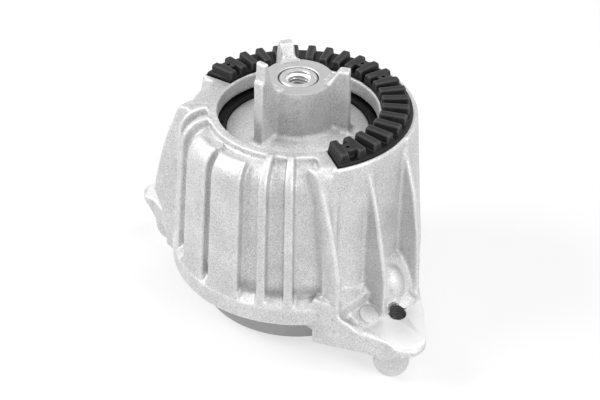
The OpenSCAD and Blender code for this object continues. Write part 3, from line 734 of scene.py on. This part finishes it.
def housing_places(centre, normal):
    """Finish of each face of the housing: 0 cast, 1 milled with painted light, 2 the tapped hole's walls in painted
    shade.
    """
    flat = (np.abs(centre[:, 2] - FACE_Z) < 0.02) & (normal[:, 2] > 0.99)
    side = np.where(centre[:, 0] > 0, 1.0, -1.0)
    turn = np.where(side > 0, 0.0, LEFT_TURN)
    hole_x = side * HOLE_X * np.cos(turn) - HOLE_Y * np.sin(turn)
    hole_y = side * HOLE_X * np.sin(turn) + HOLE_Y * np.cos(turn)
    away = np.hypot(centre[:, 0] - hole_x, centre[:, 1] - hole_y)
    tapped = (away < HOLE_R + 0.9) & (centre[:, 2] > FOOT_Z) & (centre[:, 2] < FACE_Z + 4)
    wall = tapped & (np.abs(normal[:, 2]) < 0.95) & (away < HOLE_R + 0.86)
    return np.where(wall & ~flat, 2, flat)


# Core and its threaded insert

def insert_seat():
    """Bore for the insert, with the open gap round its top."""
    r = INSERT_R + 0.02
    return lathe([(0, BOSS_Z - INSERT_LEN), (r, BOSS_Z - INSERT_LEN), (r, BOSS_Z - 2.4), (r + 0.65, BOSS_Z - 2.4),
        (r + 0.65, BOSS_Z - 0.5), (r + 1.2, BOSS_Z + 0.1), (r + 1.2, BOSS_Z + 3), (0, BOSS_Z + 3)], name="seat")


def boss_bead():
    """Small curved bead on the boss top beside the right fin. At turn a and angle b round its section, the
    radius about a point of the boss is the bead's own plus the taper times cos b, and z rises with sin b."""
    turn = np.radians(np.linspace(70, 190, 24))
    across = np.linspace(0, 2 * math.pi, 12, endpoint=False)
    a, b = np.meshgrid(turn, across, indexing="ij")
    taper = np.sqrt(np.clip(1 - ((a - turn.mean()) / (turn[-1] - turn.mean()) * 0.98) ** 2, 0, 1))
    r = BEAD_R + 0.35 * taper * np.cos(b)
    z = BOSS_Z + 0.3 * taper * np.sin(b)
    rings = np.stack([BEAD[0] + r * np.cos(a), BEAD[1] + r * np.sin(a), z], -1)[:, ::-1]
    return closed_rings("bead", rings, rings[0].mean(0), rings[-1].mean(0))


def along(azimuth, outline, near, far, name):
    """Closed prism along a radius: its outline of (across, z) points runs from the radius near to far."""
    c, s = math.cos(math.radians(azimuth)), math.sin(math.radians(azimuth))
    return extruded(outline, near, far, lambda u, v, w: np.stack([w * c - u * s, w * s + u * c, v], -1), name)


def boss_facing():
    """Space over the faced top of the boss, which stops short of the three fins."""
    top = BOSS_Z + 1.6
    tool = lathe([(0, BOSS_Z), (FACING_R, BOSS_Z), (FACING_R, top), (0, top)], name="facing")
    block = [(-5.0, BOSS_Z - 1), (5.0, BOSS_Z - 1), (5.0, BOSS_Z + 3), (-5.0, BOSS_Z + 3)]
    combine(tool, [along(azimuth, block, 14.4, 22, "stop") for azimuth in FINS], "DIFFERENCE")
    return tool


def drafted_fin(azimuth):
    """Wedge that gives a short fin its draft: 6.8 mm wide at its top and 9 mm at the boss."""
    outline = [(-4.9, BOSS_Z - 6), (4.9, BOSS_Z - 6), (4.4, BOSS_Z), (3.4, BOSS_Z + 7.5), (-3.4, BOSS_Z + 7.5),
        (-4.4, BOSS_Z)]
    return along(azimuth, outline, 20.9, 25.8, "wedge")


def build_core():
    """Casting from the CAD core, with its top faced and its bore cut after the rounding."""
    obj = merged_copy("core", "cast_core")
    combine(obj, [post((0, 0), INSERT_R + 2.0, BOSS_Z - INSERT_LEN + 0.01, BOSS_Z - 0.001, "plug"),
        post((0, 0), BOSS_STOCK_R, BOSS_Z - 1, BOSS_Z + 0.9, "stock"), drafted_fin(FINS[2])], "UNION")
    obj = soften(obj, "cast_core", 2.2, 0.7, 0.45, 120000)
    combine(obj, [boss_facing()], "DIFFERENCE")
    combine(obj, [boss_bead()], "UNION")
    combine(obj, [insert_seat()], "DIFFERENCE")
    return obj


def core_places(centre, normal):
    """Finish of each face of the core: 0 cast, 1 the faced boss top in painted shade, 2 the gap round the insert in
    painted shade.
    """
    in_gap = (np.hypot(centre[:, 0], centre[:, 1]) < INSERT_R + 1.0) & (centre[:, 2] < BOSS_Z - 0.3)
    faced = (np.abs(centre[:, 2] - BOSS_Z) < 0.02) & (normal[:, 2] > 0.99)
    return np.select([in_gap, faced], [2, 1], 0)


def build_insert():
    """Steel insert: chamfered ring with a counterbore and an M12 thread."""
    top = BOSS_Z - 0.1
    foot = BOSS_Z - INSERT_LEN + 0.05
    obj = lathe([(0, foot), (INSERT_R - 0.4, foot), (INSERT_R, foot + 0.4), (INSERT_R, top - 0.5),
        (INSERT_R - 0.5, top), (0, top)], turns=128, name="threaded_insert")
    mouth_r = COUNTERBORE_R + 0.5
    bore = lathe([(0, foot - 1), (INSERT_BORE_R, foot - 1), (INSERT_BORE_R, top - 2.2), (COUNTERBORE_R, top - 1.4),
        (COUNTERBORE_R, top - 0.5), (mouth_r, top), (mouth_r, top + 1), (0, top + 1)], turns=128, name="bore")
    combine(obj, [bore], "DIFFERENCE")
    combine(obj, [thread_cutter((0, 0), INSERT_BORE_R - 0.05, INSERT_THREAD_DEPTH, INSERT_THREAD_PITCH, foot - 0.5,
        top - 1.6)], "DIFFERENCE")
    return obj


# Rubber buffers

def build_buffers():
    """Left buffer softened from its solid, and the right one as its mirror image about the split."""
    left = merged_copy("buffer_left", "rubber_left")
    left = soften(left, "rubber_left", 0.5, 0.55, 0.28, 110000)
    turn = Matrix.Rotation(BUFFER_MID, 4, "Z")
    mirror = turn @ Matrix.Diagonal((1, -1, 1, 1)) @ turn.inverted()
    mesh = left.data.copy()
    mesh.transform(mirror)
    mesh.flip_normals()
    return left, new_object("rubber_right", mesh)


housing = build_housing()
set_finishes(housing, [ALUMINIUM, MILLED_LIT, HOLE_SHADE], housing_places)
core = build_core()
set_finishes(core, [ALUMINIUM, FACED_SHADED, HOLE_SHADE], core_places)
insert = build_insert()
buffer_left, buffer_right = build_buffers()

for piece, node, slot, material in (
        (housing, "housing", "cast_aluminium", None), (core, "core", "cast_aluminium", None),
        (insert, "core_insert", "steel", STEEL), (buffer_left, "buffer_left", "rubber", RUBBER),
        (buffer_right, "buffer_right", "rubber", RUBBER)):
    if material:
        piece.data.materials.clear()
        piece.data.materials.append(material)
    mark_relief(piece)
    smooth_shade(piece)
    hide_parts(node)
    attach(piece, "root")

KEPT = {"stop_ring": RUBBER, "main_spring": RUBBER, "decoupler": RUBBER, "diaphragm": RUBBER,
    "spring_ring": ALUMINIUM, "track_plate_upper": ALUMINIUM, "track_plate_lower": ALUMINIUM,
    "diaphragm_ring": STEEL, "base_pan": PAN}
for node, material in KEPT.items():
    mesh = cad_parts[node].data
    mesh.materials.clear()
    mesh.materials.append(material)


# Studio

def white_world():
    """White for the camera and in reflections, and a plain grey light on everything else."""
    world = bpy.data.worlds.new("studio")
    bpy.context.scene.world = world
    world.use_nodes = True
    tree = world.node_tree
    back = tree.nodes["Background"]
    path = tree.nodes.new("ShaderNodeLightPath")
    seen = Value(tree, path.outputs["Is Camera Ray"]) + Value(tree, path.outputs["Is Transmission Ray"])
    mirrored = Value(tree, path.outputs["Is Glossy Ray"])
    strength = 0.3 + (seen + mirrored).clamped() * 0.7
    tree.links.new(strength.socket, back.inputs["Strength"])
    back.inputs["Color"].default_value = (1, 1, 1, 1)


def floor():
    """Plain pale floor that looks white to the camera and keeps the mount's shadow."""
    size, z = 6000.0, cad_box[0].z / MM
    points = np.array([(-size, -size, z), (size, -size, z), (size, size, z), (-size, size, z)])
    obj = new_object("floor", mesh_from("floor", points, [np.arange(4)[None]]))
    f = Finish("pale floor")
    path = f.node("ShaderNodeLightPath")
    seen = (Value(f.tree, path.outputs["Is Camera Ray"]) + Value(f.tree, path.outputs["Is Glossy Ray"])
        + Value(f.tree, path.outputs["Is Transmission Ray"])).clamped()
    f.surface(Base_Color=grey(0.8), Roughness=0.9, Specular_IOR_Level=0.0)
    plain = f.node("ShaderNodeBsdfDiffuse", sockets={"Color": grey(0.50)})
    glow = f.node("ShaderNodeEmission", sockets={"Color": grey(1.0), "Strength": 0.62})
    both = f.node("ShaderNodeAddShader", sockets={0: plain.outputs[0], 1: glow.outputs[0]})
    mixed = f.node("ShaderNodeMixShader", sockets={0: seen, 1: f.shader.outputs[0], 2: both.outputs[0]})
    f.tree.links.new(mixed.outputs[0], f.tree.nodes["Material Output"].inputs["Surface"])
    obj.data.materials.append(f.material)


def lamp(name, azimuth, elevation, distance, size, power):
    """A square area lamp that faces the mount's middle."""
    data = bpy.data.lights.new(name, "AREA")
    data.size = size
    data.energy = power
    a, e = math.radians(azimuth), math.radians(elevation)
    way = Vector((math.cos(e) * math.cos(a), math.cos(e) * math.sin(a), math.sin(e)))
    obj = new_object(name, data)
    obj.matrix_world = Matrix.Translation(Vector((0, 0, 0.06)) + way * distance) @ way.to_track_quat(
        "Z", "Y").to_matrix().to_4x4()


def photo_camera():
    """Camera fitted to the photograph: its place, its three axes and its focal length."""
    data = bpy.data.cameras.new("camera")
    obj = new_object("camera", data)
    right = Vector((0.701907, 0.712194, 0.010298))
    up = Vector((-0.416862, 0.399032, 0.8167))
    forward = Vector((-0.57754, 0.57754, -0.57697))
    turn = Matrix((right, up, -forward)).transposed()
    obj.matrix_world = Matrix.Translation(Vector((405.394, -403.162, 455.638)) * MM) @ turn.to_4x4()
    data.lens = 80.152
    data.sensor_width = 36
    bpy.context.scene.camera = obj


white_world()
floor()
lamp("key", -128, 38, 1.4, 0.7, 10.0)
lamp("top", 60, 70, 1.4, 0.6, 4.0)
lamp("side", 0, 22, 1.5, 0.5, 7.0)
photo_camera()
bpy.context.scene.view_settings.view_transform = "Standard"
